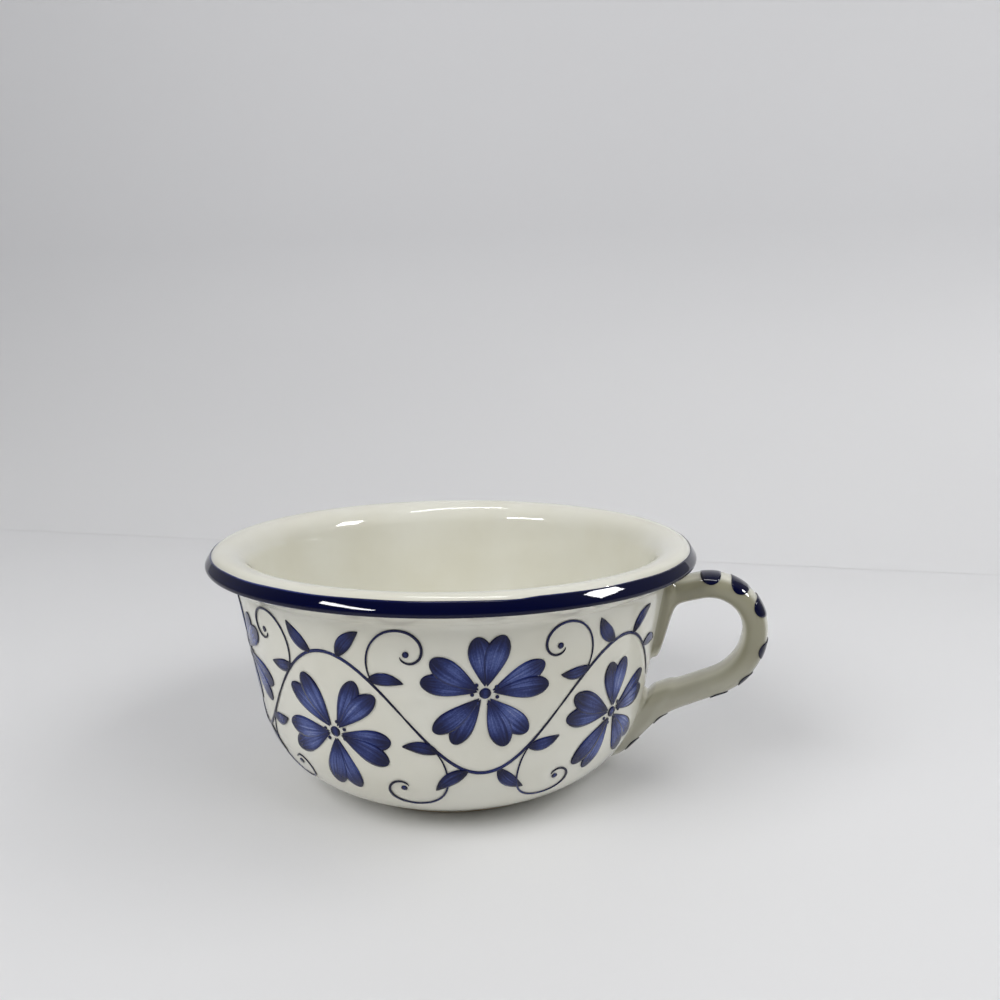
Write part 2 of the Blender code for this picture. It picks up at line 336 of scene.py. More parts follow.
inside = [
    (0.0, FLOOR_HEIGHT, 0.0),
    (wall_line(FLOOR_HEIGHT, WALL_THICKNESS), FLOOR_HEIGHT, FLOOR_ROUND),
    (wall_line(BOWL_HEIGHT, WALL_THICKNESS), BOWL_HEIGHT, LIP_ROUND),
]
outside = [
    (*RIM_CORNER, RIM_ROUND),
    (*RIM_FACE, RIM_FACE_ROUND),
    (*RIM_EDGE, RIM_EDGE_ROUND),
    (WALL_TOP_RADIUS, RIM_ROOT_HEIGHT, RIM_ROOT_ROUND),
    (wall_line(HEEL_HEIGHT), HEEL_HEIGHT, HEEL_ROUND),
    (FOOT_RADIUS, FOOT_HEIGHT, 0.0),
]
foot = [
    (FOOT_RADIUS, 0.0, FOOT_ROUND),
    (FOOT_RADIUS - FOOT_WIDTH, 0.0, FOOT_ROUND),
    (FOOT_RADIUS - FOOT_WIDTH, FOOT_RECESS, FOOT_ROUND),
    (0.0, FOOT_RECESS, 0.0),
]
# From the foot to the inside, because that way round the faces point outwards.
bowl_profile = divided(rounded_path(inside + outside + foot))[::-1]
print(f"bowl profile: {len(bowl_profile)} points, out to {max(p.x for p in bowl_profile) / MM:.2f} mm")

# %% [markdown]
# A wheel is a rule, so the bowl is made by Geometry Nodes: a grid is rolled up, each row of it taking
# its radius and height from one point of the profile. A slow noise moves the wall by a tenth of a
# millimetre, because no thrown pot is perfectly round, and a perfect one looks like plastic.

# %% Start and end of a tree
WELD = 0.002 * MM               # points nearer to each other than this become one


def new_tree(name, inputs):
    """A Geometry Nodes tree with named inputs: the tree, its inputs' sockets and its output node."""
    tree = bpy.data.node_groups.new(name, "GeometryNodeTree")
    for label, kind in inputs.items():
        tree.interface.new_socket(label, in_out="INPUT", socket_type=kind)
    tree.interface.new_socket("Geometry", in_out="OUTPUT", socket_type="NodeSocketGeometry")
    return tree, add(tree, "NodeGroupInput").outputs, add(tree, "NodeGroupOutput")


def end_tree(tree, shape, material, result):
    """The end of a tree: the shape welded, shaded smooth, made real and given its material."""
    welded = add(tree, "GeometryNodeMergeByDistance", {"Geometry": shape, "Distance": WELD})
    smooth = add(tree, "GeometryNodeSetShadeSmooth", {"Geometry": welded})
    real = add(tree, "GeometryNodeRealizeInstances", {"Geometry": smooth})
    dressed = add(tree, "GeometryNodeSetMaterial", {"Geometry": real, "Material": material})
    feed(result, {"Geometry": dressed})
    print(f"{tree.name}: {len(tree.nodes)} nodes")


# %% From a tree to a plain mesh
def plain_piece(name, tree, inputs, thickness=0.0):
    """Runs a tree and keeps what it makes as a plain mesh, with its sheets made solid if asked."""
    piece = new_object(name, bpy.data.meshes.new(name))
    modifier = piece.modifiers.new("shape", "NODES")
    modifier.node_group = tree
    for socket in tree.interface.items_tree:
        if socket.in_out == "INPUT":
            modifier[socket.identifier] = inputs[socket.name]
    if thickness:
        solid = piece.modifiers.new("thickness", "SOLIDIFY")
        solid.thickness = thickness
        solid.offset = -1.0
    evaluated = piece.evaluated_get(bpy.context.evaluated_depsgraph_get())
    mesh = bpy.data.meshes.new_from_object(evaluated)
    piece.modifiers.clear()
    piece.data = mesh
    mesh.name = name
    return piece


def line_object(name, lines, closed=False):
    """A curve object with one straight-sided spline for each list of (point, radius) pairs."""
    curve = bpy.data.curves.new(name, "CURVE")
    curve.dimensions = "3D"
    for line in lines:
        spline = curve.splines.new("POLY")
        spline.points.add(len(line) - 1)
        spline.use_cyclic_u = closed
        for point, (place, radius) in zip(spline.points, line):
            point.co = (*place, 1.0)
            point.radius = radius
    return new_object(name, curve)


# %% Tree that turns a profile
UNROUND_SIZE = 45 * MM

turning_tree, given, result = new_tree("turned_clay", {
    "Profile": "NodeSocketObject",
    "Steps": "NodeSocketInt",
    "Axis": "NodeSocketVector",
    "Unevenness": "NodeSocketFloat",
    "Glaze": "NodeSocketMaterial",
})
tree = turning_tree
profile = add(tree, "GeometryNodeObjectInfo", {"Object": given["Profile"]}).outputs["Geometry"]
count = add(tree, "GeometryNodeAttributeDomainSize", {0: profile}, component="CURVE").outputs["Point Count"]
columns = add(tree, "ShaderNodeMath", {0: given["Steps"], 1: 1.0}, operation="ADD")
grid = add(tree, "GeometryNodeMeshGrid", {"Vertices X": columns, "Vertices Y": count})
index = add(tree, "GeometryNodeInputIndex")
row = add(tree, "ShaderNodeMath", {0: index, 1: count}, operation="MODULO")
column = add(tree, "ShaderNodeMath", {0: index, 1: count}, operation="DIVIDE")
whole = add(tree, "ShaderNodeMath", {0: column}, operation="FLOOR")
share = add(tree, "ShaderNodeMath", {0: whole, 1: given["Steps"]}, operation="DIVIDE")
angle = add(tree, "ShaderNodeMath", {0: share, 1: 2 * pi}, operation="MULTIPLY")
position = add(tree, "GeometryNodeInputPosition")
spot = add(tree, "GeometryNodeSampleIndex", {"Geometry": profile, "Value": position, "Index": row},
           data_type="FLOAT_VECTOR")
rolled = add(tree, "ShaderNodeVectorRotate", {"Vector": spot, "Angle": angle}, rotation_type="Z_AXIS")
noise = add(tree, "ShaderNodeTexNoise", {"Vector": rolled, "Scale": 1 / UNROUND_SIZE, "Detail": 0.0})
swing = add(tree, "ShaderNodeMapRange", {"Value": noise, "To Min": -1.0, "To Max": 1.0})
amount = add(tree, "ShaderNodeMath", {0: swing, 1: given["Unevenness"]}, operation="MULTIPLY")
level = add(tree, "ShaderNodeVectorMath", {0: rolled, 1: (1.0, 1.0, 0.0)}, operation="MULTIPLY")
outward = add(tree, "ShaderNodeVectorMath", {0: level}, operation="NORMALIZE")
moved = add(tree, "ShaderNodeVectorMath", {0: outward, "Scale": amount}, operation="SCALE")
uneven = add(tree, "ShaderNodeVectorMath", {0: rolled, 1: moved}, operation="ADD")
placed = add(tree, "ShaderNodeVectorMath", {0: uneven, 1: given["Axis"]}, operation="ADD")
shaped = add(tree, "GeometryNodeSetPosition", {"Geometry": grid, "Position": placed})
end_tree(tree, shaped, given["Glaze"], result)

# %% Turning the bowl
TURN_STEPS = 256
UNROUND = 0.10 * MM

profile_line = line_object("bowl_profile", [[((p.x, 0.0, p.y), 1.0) for p in bowl_profile]])
bowl = plain_piece("glazed_bowl", turning_tree, {
    "Profile": profile_line,
    "Steps": TURN_STEPS,
    "Axis": (AXIS_X, 0.0, 0.0),
    "Unevenness": UNROUND,
    "Glaze": bowl_glaze,
})
bpy.data.objects.remove(profile_line)
print(f"bowl: {len(bowl.data.polygons)} faces")

# %% [markdown]
# ## The handle
# The strap was pulled from a lump of clay, so it has a soft, rounded section, and its two ends were
# pressed onto the wall and smeared down it. The shape is a row of sections along a centre line with two
# bends. Near the wall each section grows and turns until it lies along the wall. A last touch that
# the solids don't have is the small fillet of slip, wiped round with a finger, where clay meets clay.

# %% Following the wall
WALK_STEP = 0.1 * MM

wall_path = rounded_path(outside[2:])


def wall_radius(height):
    """Radius of the bowl's outside below the rim, the curved heel included."""
    for above, below in zip(wall_path, wall_path[1:]):
        if below.y <= height <= above.y:
            return below.x + (above.x - below.x) * (height - below.y) / (above.y - below.y)
    return FOOT_RADIUS


def down_wall(height, reach):
    """Direction from the wall at a height to a lower point of it, which is this far away."""
    root = tip = Vector((wall_radius(height), height))
    while (tip - root).length < reach and tip.y > FOOT_HEIGHT:
        tip = Vector((wall_radius(tip.y - WALK_STEP), tip.y - WALK_STEP))
    return (tip - root).normalized()


def path_lengths(path):
    """How far along a path each of its points is."""
    lengths = [0.0]
    for start, end in zip(path, path[1:]):
        lengths.append(lengths[-1] + (end - start).length)
    return lengths


def path_point(path, lengths, distance):
    """Point at a distance along a path."""
    distance = min(max(distance, 0.0), lengths[-1])
    k = next(k for k in range(len(path) - 1) if distance <= lengths[k + 1])
    return path[k].lerp(path[k + 1], (distance - lengths[k]) / (lengths[k + 1] - lengths[k]))


print(f"bowl's radius halfway up: {wall_radius(BOWL_HEIGHT / 2) / MM:.1f} mm")

# %% Handle's centre line
HANDLE_THICKNESS = 7.4 * MM
UPPER_BEND = 13.0 * MM
LOWER_BEND = 18.5 * MM
UPPER_ROOT_HEIGHT = BOWL_HEIGHT - 14.9 * MM
UPPER_RISE = radians(15.0)
UPPER_TAIL = 20.9 * MM          # smear down the wall from the end's centre
LOWER_ROOT_HEIGHT = 21.6 * MM
LOWER_FALL = radians(24.0)
LOWER_LEAN = 16.0 * MM          # the smear keeps the direction that the wall has over this length
ROOT_SINK = 4.2 * MM            # how far the strap runs on inside the wall


def strap_end(height, slope, reach, bend):
    """One end of the strap: its way down the wall, and the corners from inside the wall to the bend."""
    root = Vector((wall_radius(height), height))
    down = down_wall(height, reach)
    way = Vector((cos(slope), sin(slope)))
    far = HANDLE_REACH - HANDLE_THICKNESS / 2
    return down, [(*(root + Vector((down.y, -down.x)) * ROOT_SINK), 0.0), (*root, 0.0),
                  (*(root + way * (far - root.x) / way.x), bend)]


upper_down, upper_end = strap_end(UPPER_ROOT_HEIGHT, UPPER_RISE, UPPER_TAIL, UPPER_BEND)
lower_down, lower_end = strap_end(LOWER_ROOT_HEIGHT, LOWER_FALL, LOWER_LEAN, LOWER_BEND)
strap_path = rounded_path(upper_end + lower_end[::-1])
strap_lengths = path_lengths(strap_path)
STRAP_LENGTH = strap_lengths[-1] - 2 * ROOT_SINK
print(f"strap: {STRAP_LENGTH / MM:.1f} mm along its middle from wall to wall")

# %% Handle's sections
HANDLE_WIDTH = 13.0 * MM
ROOT_SWELL = 1.2 * MM           # what the strap gains in width and thickness, each way, at the wall
UPPER_FLARE = 2.55 * MM         # distance from the wall where half of the smear is reached
UPPER_SHARPNESS = 7.0
UPPER_TURN = 5.1 * MM           # distance from the wall where a section has half turned to it
LOWER_TAIL = 21.5 * MM
LOWER_FLARE = 7.4 * MM
LOWER_SHARPNESS = 7.0
LOWER_TURN = 17.6 * MM
TURN_SHARPNESS = 3.0
STRAP_NUDGE = 0.4 * MM          # the strap's direction is taken over this far on both sides
SECTION_POWER = 2.4             # 2 is an ellipse, more is squarer


def strap_point(distance):
    """Point of the centre line at a distance from the upper wall."""
    return path_point(strap_path, strap_lengths, distance + ROOT_SINK)


def flare(distance, size, sharpness):
    """Share of the swelling at a distance from the wall: 1 at the wall, half at the size."""
    return 1 / (1 + (max(distance, 0.0) / size) ** sharpness)


def strap_section(distance):
    """Centre, direction out of the loop, reach out, reach in and half width at a distance."""
    left = STRAP_LENGTH - distance
    along = strap_point(distance + STRAP_NUDGE) - strap_point(distance - STRAP_NUDGE)
    square = Vector((-along.y, along.x)).normalized()
    upper = flare(distance, UPPER_FLARE, UPPER_SHARPNESS)
    lower = flare(left, LOWER_FLARE, LOWER_SHARPNESS)
    out = square.lerp(-upper_down, flare(distance, UPPER_TURN, TURN_SHARPNESS))
    out = out.lerp(lower_down, flare(left, LOWER_TURN, TURN_SHARPNESS)).normalized()
    swell = ROOT_SWELL * (upper + lower)
    plain = HANDLE_THICKNESS / 2 / out.dot(square) + swell
    reach_out = plain + max(LOWER_TAIL - plain, 0.0) * lower
    reach_in = plain + max(UPPER_TAIL - plain, 0.0) * upper
    return strap_point(distance), out, reach_out, reach_in, HANDLE_WIDTH / 2 + swell


def strap_skin(distance, angle):
    """Point of the strap's surface: angle 0 is its -Y edge and a quarter turn is its outer face."""
    centre, out, reach_out, reach_in, half_width = strap_section(distance)
    across = copysign(abs(cos(angle)) ** (2 / SECTION_POWER), cos(angle))
    up = copysign(abs(sin(angle)) ** (2 / SECTION_POWER), sin(angle))
    point = centre + out * up * (reach_out if up > 0 else reach_in)
    return Vector((AXIS_X + point.x, -across * half_width, point.y))


print(f"strap halfway round: {strap_section(STRAP_LENGTH / 2)[4] * 2 / MM:.1f} mm wide")

# %% Fillet of slip
FILLET = 0.9 * MM

wall_tree = BVHTree.FromPolygons([v.co for v in bowl.data.vertices],
                                 [tuple(p.vertices) for p in bowl.data.polygons])


def filleted(point, centre):
    """The point, pushed out along the wall where it is close to the wall."""
    touch, normal = wall_tree.find_nearest(point)[:2]
    away = (point - touch).dot(normal)
    if away >= FILLET:
        return point
    out = point - centre
    out = (out - normal * out.dot(normal)).normalized()
    return point + out * FILLET * (1 - sqrt(1 - (1 - max(away, 0.0) / FILLET) ** 2))


print(f"fillet: {FILLET / MM} mm, against {len(bowl.data.polygons)} faces of the bowl")

# %% Lofting the handle
STATIONS = 220
STATION_CROWDING = 0.96         # packs the sections towards the wall, where the fillet is
SECTION_POINTS = 56

shape = bmesh.new()
rings = []
for i in range(STATIONS + 1):
    share = i / STATIONS
    share -= STATION_CROWDING * sin(2 * pi * share) / (2 * pi)
    distance = share * strap_lengths[-1] - ROOT_SINK
    middle = strap_section(distance)[0]
    middle = Vector((AXIS_X + middle.x, 0.0, middle.y))
    ring = [strap_skin(distance, 2 * pi * k / SECTION_POINTS) for k in range(SECTION_POINTS)]
    rings.append([shape.verts.new(filleted(point, middle)) for point in ring])
for ring, following in zip(rings, rings[1:]):
    for k in range(SECTION_POINTS):
        after = (k + 1) % SECTION_POINTS
        shape.faces.new((ring[k], ring[after], following[after], following[k]))
shape.faces.new(reversed(rings[0]))
shape.faces.new(rings[-1])
bmesh.ops.recalc_face_normals(shape, faces=shape.faces)
handle_mesh = bpy.data.meshes.new("glazed_handle")
shape.to_mesh(handle_mesh)
shape.free()
handle_mesh.shade_smooth()
handle_mesh.materials.append(handle_glaze)
handle = new_object("glazed_handle", handle_mesh)
print(f"handle: {len(handle_mesh.polygons)} faces")

# %% [markdown]
# ## Cobalt brushwork
# The blue is cobalt oxide, brushed on before the glaze, so that the gloss runs over it unbroken. A
# loaded brush leaves the most colour where it is pressed down and lifted, and along the stroke's edges,
# where the wet paint pools. In between it is thin, streaked by the hairs, and the cream shows through.
# The material is therefore one ramp from thin violet-blue wash to nearly black cobalt, driven by how
# far along and across its own stroke a point lies. These numbers come with the mesh.

# %% Tones and streaks of the paint
COBALT_COLOURS = [(0.0, "8C97C2"), (0.22, "4D5C98"), (0.45, "222F68"), (0.7, "0B1242"), (1.0, "03062A")]
COBALT_SHINE = 0.30             # specular level, below the shader's usual 0.5
POOL_START = 0.70               # share of the half width where the pooled edge starts
HEAD_START = 0.55               # share of a stroke's length where its dense head starts
HEAD_DENSITY = 0.48
TAIL_END = 0.45                 # share of the length where its dense tail ends
TAIL_DENSITY = 0.46
STREAK_WIDTH = 0.22             # streaks, as a share of the brush's half width
STREAK_LENGTH = 16 * MM
STREAK_RELIEF = 0.02 * MM
RELIEF_STRENGTH = 0.25
GRAIN = 0.45 * MM               # the pigment's grain, drawn coarser than it is so that it shows
OWN_STREAKS = 40.0              # moves each stroke to its own part of the streaks
NOISE_RANGE = (0.25, 0.75)      # most of a noise's values lie between these
STREAK_DENSITY = 0.22           # how far streaks, grain and the stroke's own tone move the density
GRAIN_DENSITY = 0.08
TONE_DENSITY = 0.13
print(f"streaks: {STREAK_LENGTH / MM:.0f} mm long, grain: {GRAIN / MM} mm")


# %% Cobalt material
def cobalt_material(name):
    """Underglaze cobalt under clear gloss: dense at a stroke's ends and edges, thin and streaky inside."""
    made, tree, shader, place = new_material(name)
    along, run, across, tone, load, pool = (
        add(tree, "ShaderNodeAttribute", attribute_name=fact).outputs["Fac"]
        for fact in ("along", "run", "across", "tone", "load", "pool"))

    off_middle = add(tree, "ShaderNodeMath", {0: across}, operation="ABSOLUTE")
    edge = add(tree, "ShaderNodeMapRange", {"Value": off_middle, "From Min": POOL_START}, **SMOOTH)
    pooled = add(tree, "ShaderNodeMath", {0: edge, 1: pool}, operation="MULTIPLY")
    head = add(tree, "ShaderNodeMapRange", {
        "Value": along, "From Min": HEAD_START, "To Max": HEAD_DENSITY}, **SMOOTH)
    tail = add(tree, "ShaderNodeMapRange", {
        "Value": along, "From Min": TAIL_END, "From Max": 0.0, "To Max": TAIL_DENSITY}, **SMOOTH)

    lengthwise = add(tree, "ShaderNodeMath", {0: run, 1: 1 / STREAK_LENGTH}, operation="MULTIPLY")
    crosswise = add(tree, "ShaderNodeMath", {0: across, 1: 1 / STREAK_WIDTH}, operation="MULTIPLY")
    own = add(tree, "ShaderNodeMath", {0: tone, 1: OWN_STREAKS}, operation="MULTIPLY")
    hairs = add(tree, "ShaderNodeCombineXYZ", {"X": lengthwise, "Y": crosswise, "Z": own})
    streak = add(tree, "ShaderNodeTexNoise", {"Vector": hairs, "Scale": 1.0, "Detail": 3.0})
    speckle = add(tree, "ShaderNodeTexNoise", {"Vector": place, "Scale": 1 / GRAIN, "Detail": 2.0})

    parts = [pooled, head, tail]
    for source, (lowest, highest), most in (
        (streak, NOISE_RANGE, STREAK_DENSITY),
        (speckle, NOISE_RANGE, GRAIN_DENSITY),
        (tone, (0.0, 1.0), TONE_DENSITY),
    ):
        parts.append(add(tree, "ShaderNodeMapRange", {
            "Value": source, "From Min": lowest, "From Max": highest, "To Min": -most, "To Max": most}))
    density = load
    for part in parts:
        density = add(tree, "ShaderNodeMath", {0: density, 1: part}, operation="ADD")
    blue = ramp_stops(add(tree, "ShaderNodeValToRGB", {"Fac": density}), COBALT_COLOURS)
    relief = add(tree, "ShaderNodeBump", {
        "Height": streak, "Strength": RELIEF_STRENGTH, "Distance": STREAK_RELIEF})
    feed(shader, {"Base Color": blue, "Normal": relief, "Roughness": GLAZE_ROUGHNESS, "IOR": GLASS_INDEX,
                  "Specular IOR Level": COBALT_SHINE})
    return made


cobalt = cobalt_material("underglaze_cobalt")
print("paint:", cobalt.name)

# %% [markdown]
# Every stroke, whether a petal, a stem, a dash on the handle or the band round the rim, is a line with a
# width, laid on a curved surface. One Geometry Nodes tree paints them all. It turns each line into a
# ribbon, turns the ribbon to face the way the surface faces, drops every point of it onto the surface,
# and lifts it by a hair's breadth. It also writes where each point lies in its stroke, for the paint.

# %% Strokes as ribbons
COATS = 6                       # heights that strokes take in turn, so that crossing ones lie apart

brush_tree, given, result = new_tree("brush_strokes", {
    "Strokes": "NodeSocketObject",
    "Surface": "NodeSocketObject",
    "Points across": "NodeSocketInt",
    "Paint height": "NodeSocketFloat",
    "Load": "NodeSocketFloat",
    "Pooling": "NodeSocketFloat",
    "Seed": "NodeSocketInt",
    "Paint": "NodeSocketMaterial",
})
tree = brush_tree
strokes = add(tree, "GeometryNodeObjectInfo", {"Object": given["Strokes"]}).outputs["Geometry"]
surface = add(tree, "GeometryNodeObjectInfo", {"Object": given["Surface"]}).outputs["Geometry"]
position = add(tree, "GeometryNodeInputPosition")
parameter = add(tree, "GeometryNodeSplineParameter").outputs
chance = add(tree, "FunctionNodeRandomValue", {"Seed": given["Seed"]}, data_type="FLOAT")
index = add(tree, "GeometryNodeInputIndex")
coat = add(tree, "ShaderNodeMath", {0: index, 1: COATS}, operation="MODULO")
hair_line = add(tree, "GeometryNodeCurvePrimitiveLine", {"Start": (-1.0, 0.0, 0.0), "End": (1.0, 0.0, 0.0)})
hairs = add(tree, "GeometryNodeResampleCurve", {"Curve": hair_line, "Count": given["Points across"]})
sideways = add(tree, "ShaderNodeSeparateXYZ", {"Vector": position}).outputs["X"]

facts = add(tree, "GeometryNodeCaptureAttribute", {"Geometry": strokes})
owned = add(tree, "GeometryNodeCaptureAttribute", {"Geometry": facts}, domain="CURVE")
brush = add(tree, "GeometryNodeCaptureAttribute", {"Geometry": hairs})
for keeper, kind, name, source in (
    (facts, "VECTOR", "centre", position),
    (facts, "VECTOR", "heading", add(tree, "GeometryNodeInputTangent")),
    (facts, "FLOAT", "half width", add(tree, "GeometryNodeInputRadius")),
    (facts, "FLOAT", "along", parameter["Factor"]),
    (facts, "FLOAT", "run", parameter["Length"]),
    (owned, "FLOAT", "tone", chance),
    (owned, "FLOAT", "coat", coat),
    (brush, "FLOAT", "across", sideways),
):
    keeper.capture_items.new(kind, name)
    feed(keeper, {name: source})
ribbon = add(tree, "GeometryNodeCurveToMesh", {"Curve": owned, "Profile Curve": brush})
print("kept for each point:", ", ".join(item.name for item in facts.capture_items))

# %% Ribbons laid on a surface
centre = facts.outputs["centre"]
normal = add(tree, "GeometryNodeInputNormal")
facing = add(tree, "GeometryNodeSampleNearestSurface", {
    "Mesh": surface, "Value": normal, "Sample Position": centre}, data_type="FLOAT_VECTOR")
side = add(tree, "ShaderNodeVectorMath", {0: facing, 1: facts.outputs["heading"]}, operation="CROSS_PRODUCT")
unit_side = add(tree, "ShaderNodeVectorMath", {0: side}, operation="NORMALIZE")
spread = add(tree, "ShaderNodeMath", {0: brush.outputs["across"], 1: facts.outputs["half width"]},
             operation="MULTIPLY")
reach = add(tree, "ShaderNodeVectorMath", {0: unit_side, "Scale": spread}, operation="SCALE")
flat = add(tree, "ShaderNodeVectorMath", {0: centre, 1: reach}, operation="ADD")
touching = add(tree, "GeometryNodeProximity", {0: surface, "Sample Position": flat}, target_element="FACES")
facing_here = add(tree, "GeometryNodeSampleNearestSurface", {
    "Mesh": surface, "Value": normal, "Sample Position": flat}, data_type="FLOAT_VECTOR")
layer = add(tree, "ShaderNodeMath", {0: owned.outputs["coat"], 1: 1.0}, operation="ADD")
height = add(tree, "ShaderNodeMath", {0: layer, 1: given["Paint height"]}, operation="MULTIPLY")
lift = add(tree, "ShaderNodeVectorMath", {0: facing_here, "Scale": height}, operation="SCALE")
laid = add(tree, "ShaderNodeVectorMath", {0: touching, 1: lift}, operation="ADD")
painted = add(tree, "GeometryNodeSetPosition", {"Geometry": ribbon, "Position": laid})
for name, source in (
    ("along", facts.outputs["along"]),
    ("run", facts.outputs["run"]),
    ("across", brush.outputs["across"]),
    ("tone", owned.outputs["tone"]),
    ("load", given["Load"]),
    ("pool", given["Pooling"]),
):
    painted = add(tree, "GeometryNodeStoreNamedAttribute", {
        "Geometry": painted, "Name": name, "Value": source})
end_tree(tree, painted, given["Paint"], result)

# %% Painting a piece
PAINT_HEIGHT = 0.02 * MM        # of the lowest coat, and from each coat to the next
PAINT_DEPTH = 0.20 * MM         # the paint is a thin solid, sunk into the glaze


def painted_piece(name, lines, onto, points_across, load, pooling, seed, closed=False):
    """Paints lines of (point, half width) pairs onto a piece."""
    drawing = line_object(name + "_lines", lines, closed)
    piece = plain_piece(name, brush_tree, {
        "Strokes": drawing,
        "Surface": onto,
        "Points across": points_across,
        "Paint height": PAINT_HEIGHT,
        "Load": load,
        "Pooling": pooling,
        "Seed": seed,
        "Paint": cobalt,
    }, thickness=PAINT_DEPTH)
    bpy.data.objects.remove(drawing)
    print(f"{name}: {len(lines)} strokes, {len(piece.data.polygons)} faces")
    return piece


# %% [markdown]
# ### Band and dashes
# The band round the rim was drawn with a full brush held still while the wheel turned, so it is one long
# stroke whose edges wander a little. The dashes were set across the outside of the strap by hand, not
# quite evenly. Both are common borders on painted pottery.

# %% Rim band
BAND_HEIGHT = BOWL_HEIGHT - 3.3 * MM    # middle of the band, just above the rim's edge
BAND_HALF_WIDTH = 2.7 * MM
BAND_POINTS = 360
HEIGHT_WANDER = 0.12 * MM
WIDTH_WANDER = 0.16 * MM
LAP_START = radians(-62)
LAP_LENGTH = radians(44)
LAP_SPREAD = 0.42 * MM
LAP_ONSET = 12                  # the lap is full after one of this many parts of its length


def wander(angle):
    """A slow, closed wobble between about -1 and 1, for edges drawn on a wheel."""
    return 0.5 * sin(3 * angle + 0.7) + 0.3 * sin(8 * angle + 2.1) + 0.2 * sin(19 * angle + 0.4)


def lap(angle):
    """1 where the end of the band runs over its start, fading out as the brush is lifted."""
    share = (angle - LAP_START) % (2 * pi) / LAP_LENGTH
    return min(1.0, LAP_ONSET * share) * (1 - share ** 2) if share < 1 else 0.0


band_line = []
for k in range(BAND_POINTS):
    angle = 2 * pi * k / BAND_POINTS
    more = LAP_SPREAD / 2 * lap(angle)
    height = BAND_HEIGHT + HEIGHT_WANDER * wander(angle) + more
    place = Vector((AXIS_X + RIM_RADIUS * cos(angle), RIM_RADIUS * sin(angle), height))
    band_line.append((place, BAND_HALF_WIDTH + WIDTH_WANDER * wander(angle + 2.0) + more))
rim_band = painted_piece("rim_band", [band_line], bowl, points_across=13, load=0.86, pooling=-0.60, seed=3,
                         closed=True)

# %% Handle dashes
DASHES = [
    # millimetres along the strap, and degrees that the dash stops short of the strap's edge
    (13.7, 16), (20.8, 12), (28.0, 14), (38.8, 20), (47.8, 27), (55.4, 36),
    (63.2, 72), (70.2, 40), (73.6, 46),
]
DASH_HALF_WIDTH = 3.0 * MM
DASH_POINTS = 32

dash_lines = []
for place, short in DASHES:
    line = []
    for k in range(DASH_POINTS + 1):
        share = (1 - cos(pi * k / DASH_POINTS)) / 2
        angle = radians(short) + (pi - 2 * radians(short)) * share
        width = DASH_HALF_WIDTH * sqrt(1 - abs(2 * share - 1) ** 3)
        line.append((strap_skin(place * MM, angle), width))
    dash_lines.append(line)
handle_dashes = painted_piece("handle_dashes", dash_lines, handle, points_across=9, load=0.90, pooling=0.05,
                              seed=5)

# %% [markdown]
# ### Flowers
# The wall carries a repeat of a kind that folk potteries everywhere use: blossoms on a winding vine, with
# leaves and curls. Each blossom has five petals, and each petal is two comma strokes laid side by side.
# All of it is brushwork, so a stroke is the unit: a formula for its path and one for its width, drawn in
# millimetres on a flat spot of the wall. The brush tree then lays it on the curve.

# %% Places on the wall
DRAWN_INSET = 2 * MM            # the drawing may start this far in from the rim's edge
DRAWN_RISE = 1.2 * MM           # and this far above the top of the wall

drawn_wall = rounded_path([(RIM_RADIUS - DRAWN_INSET, RIM_ROOT_HEIGHT + DRAWN_RISE, 0.0), *outside[3:]])
wall_drops = path_lengths(drawn_wall)


def wall_spot(drop):
    """Radius and height of the wall at a distance down it from under the rim."""
    return path_point(drawn_wall, wall_drops, drop)


def on_wall(spot, right, up):
    """Point of the wall a little right of and above a spot, which is an angle and a drop."""
    place = wall_spot(spot[1] - up)
    angle = spot[0] + right / place.x
    return Vector((AXIS_X + place.x * cos(angle), place.x * sin(angle), place.y))


print(f"wall to paint on: {wall_drops[-1] / MM:.1f} mm from rim to foot")


# %% Strokes and their widths
COMMA_HEAD = 1.7                # more moves the fullest place of a comma towards its head
ALMOND_HEAD = 0.85              # the same for a leaf
ALMOND_FULLNESS = 0.8           # less makes a leaf fuller
THREAD_LIGHT = 0.45             # width near a thread's ends, as a share of its middle's
THREAD_TIP = 12                 # each end is pointed over one of this many parts of the length


def stroke(spot, path, width, steps):
    """One brush stroke: path(t) is (right, up) and width(t) is the half width, for t from 0 to 1."""
    shares = [(1 - cos(pi * k / steps)) / 2 for k in range(steps + 1)]
    return [(on_wall(spot, *path(t)), width(t)) for t in shares]


def comma(size):
    """Half widths of a comma stroke: a fine tail that swells to a round head."""
    return lambda t: size * sqrt(max(sin(pi * t ** COMMA_HEAD), 0.0))


def almond(size):
    """Half widths of a leaf stroke, pointed at both ends."""
    return lambda t: size * max(sin(pi * t ** ALMOND_HEAD), 0.0) ** ALMOND_FULLNESS


def thread(size):
    """Half widths of a thin line, pressed most in its middle."""
    def width(t):
        pressed = THREAD_LIGHT + (1 - THREAD_LIGHT) * sin(pi * t)
        return size * pressed * min(1.0, THREAD_TIP * t, THREAD_TIP * (1 - t)) ** 0.5

    return width


def dot(size):
    """Half widths of a round dot."""
    return lambda t: size * sqrt(max(1 - (2 * t - 1) ** 2, 0.0))


for name, power in (("comma", COMMA_HEAD), ("leaf", ALMOND_HEAD)):
    print(f"{name}: fullest {0.5 ** (1 / power):.0%} of the way along")

# %% Turned paths and dots
DOT_STEPS = 12
thread_lines = []


def turned(angle, path):
    """The path, turned about its spot."""
    return lambda t: (path(t)[0] * cos(angle) - path(t)[1] * sin(angle),
                      path(t)[0] * sin(angle) + path(t)[1] * cos(angle))


def dab(spot, right, up, size):
    """A round dot, a little right of and above a spot."""
    def across(t):
        return size * (2 * t - 1) + right, up

    thread_lines.append(stroke(spot, across, dot(size), DOT_STEPS))


